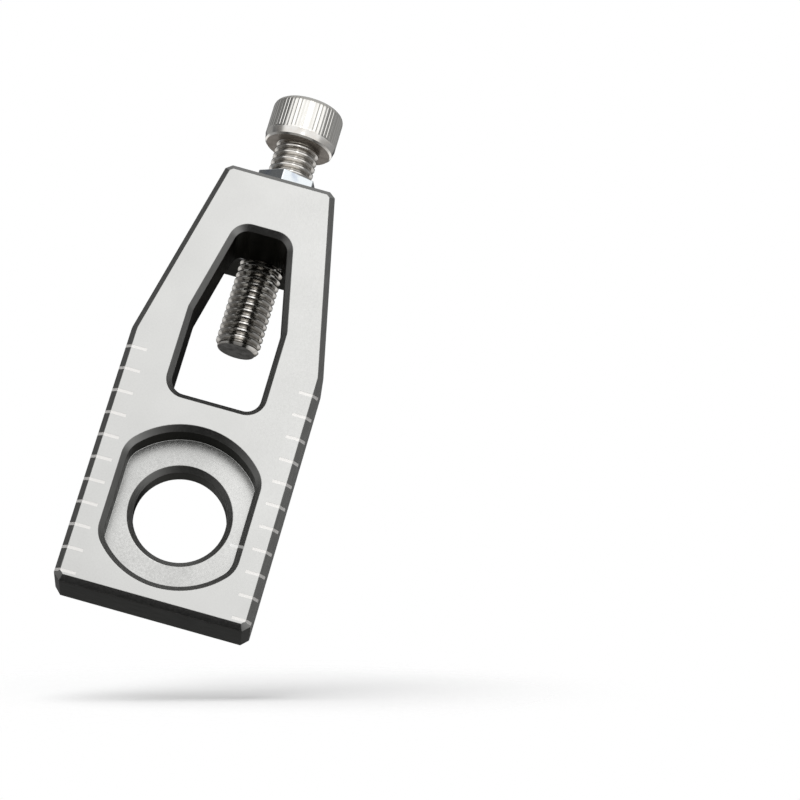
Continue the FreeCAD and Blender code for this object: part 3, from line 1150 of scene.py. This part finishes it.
@dataclass
class Studio:
    """Camera, floor, lamps and surroundings."""

    camera_place: tuple[float, float, float] = (39.248, -499.975, -147.806)
    camera_turn: tuple[float, float, float] = (110.421, -14.973, -4.427)
    lens: float = 140.015
    sensor: float = 36.0
    picture: float = 800.0
    floor_tilt: float = -0.5
    floor_size: float = 4000.0
    floor_spot: tuple[float, float] = (225.0, 692.0)
    floor_near: float = 30.0
    floor_far: float = 75.0
    paper_colour: str = "#dedede"
    paper_glow: float = 0.35
    sun_level: float = 3.0
    sun_spread: float = 55.0
    sun_way: tuple[float, float, float] = (-0.3, 1.0, -0.12)
    softbox_size: tuple[float, float] = (60.0, 240.0)
    softbox_place: tuple[float, float, float] = (24.0, -282.0, 165.0)
    softbox_aim: tuple[float, float, float] = (0.0, 0.0, 60.0)
    softbox_level: float = 0.9
    plain_level: float = 0.45

    def build(self) -> None:
        """Set up all that stands round the object."""
        camera = self.add_camera()
        self.add_floor(camera)
        self.add_sun(camera)
        self.add_softbox()
        self.make_world()
        bpy.context.scene.view_settings.view_transform = "Standard"

    def add_camera(self) -> Object:
        """Place the camera where the photograph was taken from.

        Returns:
            The camera.
        """
        data = bpy.data.cameras.new("camera")
        data.lens = self.lens
        data.sensor_width = self.sensor
        camera = add_object("camera", data)
        camera.location = Vector(self.camera_place) * MM
        camera.rotation_euler = [math.radians(angle) for angle in self.camera_turn]
        bpy.context.scene.camera = camera
        bpy.context.view_layer.update()
        return camera

    def add_floor(self, camera: Object) -> None:
        """Lay a white floor under the object as the photograph shows it.

        Args:
            camera: the placed camera, whose picture gives the floor's tilt.
        """
        turn = camera.matrix_world.to_3x3()
        per_pixel = self.sensor / self.lens / self.picture
        across = (self.floor_spot[0] - self.picture / 2) * per_pixel
        up = (self.picture / 2 - self.floor_spot[1]) * per_pixel
        spot = camera.location + turn @ (Vector((across, up, -1)) * camera.location.length)
        normal = turn @ Matrix.Rotation(math.radians(self.floor_tilt), 3, "X") @ Vector((0, 1, 0))
        shape = bmesh.new()
        bmesh.ops.create_grid(shape, x_segments=1, y_segments=1, size=self.floor_size / 2 * MM)
        facing = Vector((0, 0, 1)).rotation_difference(normal).to_matrix()
        bmesh.ops.rotate(shape, cent=(0, 0, 0), matrix=facing, verts=shape.verts)
        bmesh.ops.translate(shape, vec=spot, verts=shape.verts)
        floor = new_piece("floor", shape, [self.make_floor_paper(spot)], scale=1)
        floor.visible_glossy = False
        floor.visible_diffuse = False

    def make_floor_paper(self, spot: Vector) -> Material:
        """White paper that shows as pure white where no shadow falls, and is clear from below.

        Args:
            spot: the floor's point under the object, round which the paper is seen.

        Returns:
            The material, which is clear far from the object, where the white backdrop takes over.
        """
        material = bpy.data.materials.new("white_paper")
        material.use_nodes = True
        tree = material.node_tree
        tree.nodes.clear()
        path = add_node(tree, "ShaderNodeLightPath")
        side = add_node(tree, "ShaderNodeNewGeometry")
        paper = add_node(tree, "ShaderNodeBsdfDiffuse", {"Color": linear(self.paper_colour)})
        glow = add_node(
            tree,
            "ShaderNodeEmission",
            {"Color": linear("#ffffff"), "Strength": path.outputs["Is Camera Ray"]},
        )
        mixed = add_node(
            tree, "ShaderNodeMixShader", {0: self.paper_glow, 1: paper.outputs[0], 2: glow.outputs[0]}
        )
        clear = add_node(tree, "ShaderNodeBsdfTransparent")
        place = add_node(tree, "ShaderNodeTexCoord").outputs["Object"]
        away = add_node(tree, "ShaderNodeVectorMath", {0: place, 1: spot}, operation="DISTANCE")
        fade = add_node(
            tree,
            "ShaderNodeMapRange",
            {
                "Value": away.outputs["Value"],
                "From Min": self.floor_near * MM,
                "From Max": self.floor_far * MM,
            },
            interpolation_type="SMOOTHSTEP",
        )
        hidden = add_node(
            tree, "ShaderNodeMath", {0: side.outputs["Backfacing"], 1: fade.outputs[0]}, operation="MAXIMUM"
        )
        seen = add_node(
            tree, "ShaderNodeMixShader", {0: hidden.outputs[0], 1: mixed.outputs[0], 2: clear.outputs[0]}
        )
        add_node(tree, "ShaderNodeOutputMaterial", {"Surface": seen.outputs[0]})
        return material

    def add_sun(self, camera: Object) -> None:
        """Add the soft overhead light that gives the floor its shadow.

        Args:
            camera: the placed camera, in whose axes the light's direction is given.
        """
        data = bpy.data.lights.new("overhead", "SUN")
        data.energy = self.sun_level
        data.angle = math.radians(self.sun_spread)
        lamp = add_object("overhead", data)
        source = camera.matrix_world.to_3x3() @ Vector(self.sun_way)
        lamp.rotation_euler = source.to_track_quat("Z", "Y").to_euler()
        lamp.visible_glossy = False

    def add_softbox(self) -> None:
        """Hang the soft lamp whose reflection brightens the plate's upper end and the steel."""
        data = bpy.data.lights.new("softbox", "AREA")
        data.shape = "RECTANGLE"
        data.size = self.softbox_size[0] * MM
        data.size_y = self.softbox_size[1] * MM
        data.energy = self.softbox_level * math.pi * data.size * data.size_y
        lamp = add_object("softbox", data)
        lamp.location = Vector(self.softbox_place) * MM
        source = lamp.location - Vector(self.softbox_aim) * MM
        lamp.rotation_euler = source.to_track_quat("Z", "Y").to_euler()
        lamp.visible_camera = False

    def make_world(self) -> None:
        """Make the surroundings: white to the camera, panels in a dim room to metal, plain to the rest."""
        world = bpy.data.worlds.new("studio")
        world.use_nodes = True
        tree = world.node_tree
        tree.nodes.clear()
        place = add_node(tree, "ShaderNodeTexCoord")
        split = add_node(tree, "ShaderNodeSeparateXYZ", {0: place.outputs["Generated"]})
        shown = ROOM.add(tree, split)
        for panel in (AHEAD, BEHIND, BESIDE, BELOW, ABOVE):
            level = panel.add(tree, split)
            shown = add_node(tree, "ShaderNodeMath", {0: shown, 1: level}, operation="MAXIMUM").outputs[0]
        path = add_node(tree, "ShaderNodeLightPath")
        mirrored = add_node(
            tree,
            "ShaderNodeMath",
            {0: path.outputs["Is Glossy Ray"], 1: path.outputs["Is Transmission Ray"]},
            operation="MAXIMUM",
        )
        surroundings = add_node(
            tree,
            "ShaderNodeMix",
            {0: mirrored.outputs[0], MIX_VALUE_A: self.plain_level, MIX_VALUE_B: shown},
            data_type="FLOAT",
        )
        strength = add_node(
            tree,
            "ShaderNodeMix",
            {0: path.outputs["Is Camera Ray"], MIX_VALUE_A: surroundings.outputs[0], MIX_VALUE_B: 1.0},
            data_type="FLOAT",
        )
        background = add_node(
            tree, "ShaderNodeBackground", {"Color": linear("#ffffff"), "Strength": strength.outputs[0]}
        )
        add_node(tree, "ShaderNodeOutputWorld", {"Surface": background.outputs[0]})
        bpy.context.scene.world = world


def main() -> None:
    """Build the pieces in order."""
    logging.basicConfig(level=logging.INFO, format="%(name)s: %(message)s")
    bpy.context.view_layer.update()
    plate = AxlePlate().build()
    screw = AdjustingScrew().build()
    nut = LockNut().build()
    Studio().build()
    for piece in (plate, *screw, nut):
        log.info("%s: %d faces", piece.name, len(piece.data.polygons))


if __name__ == "__main__":
    main()
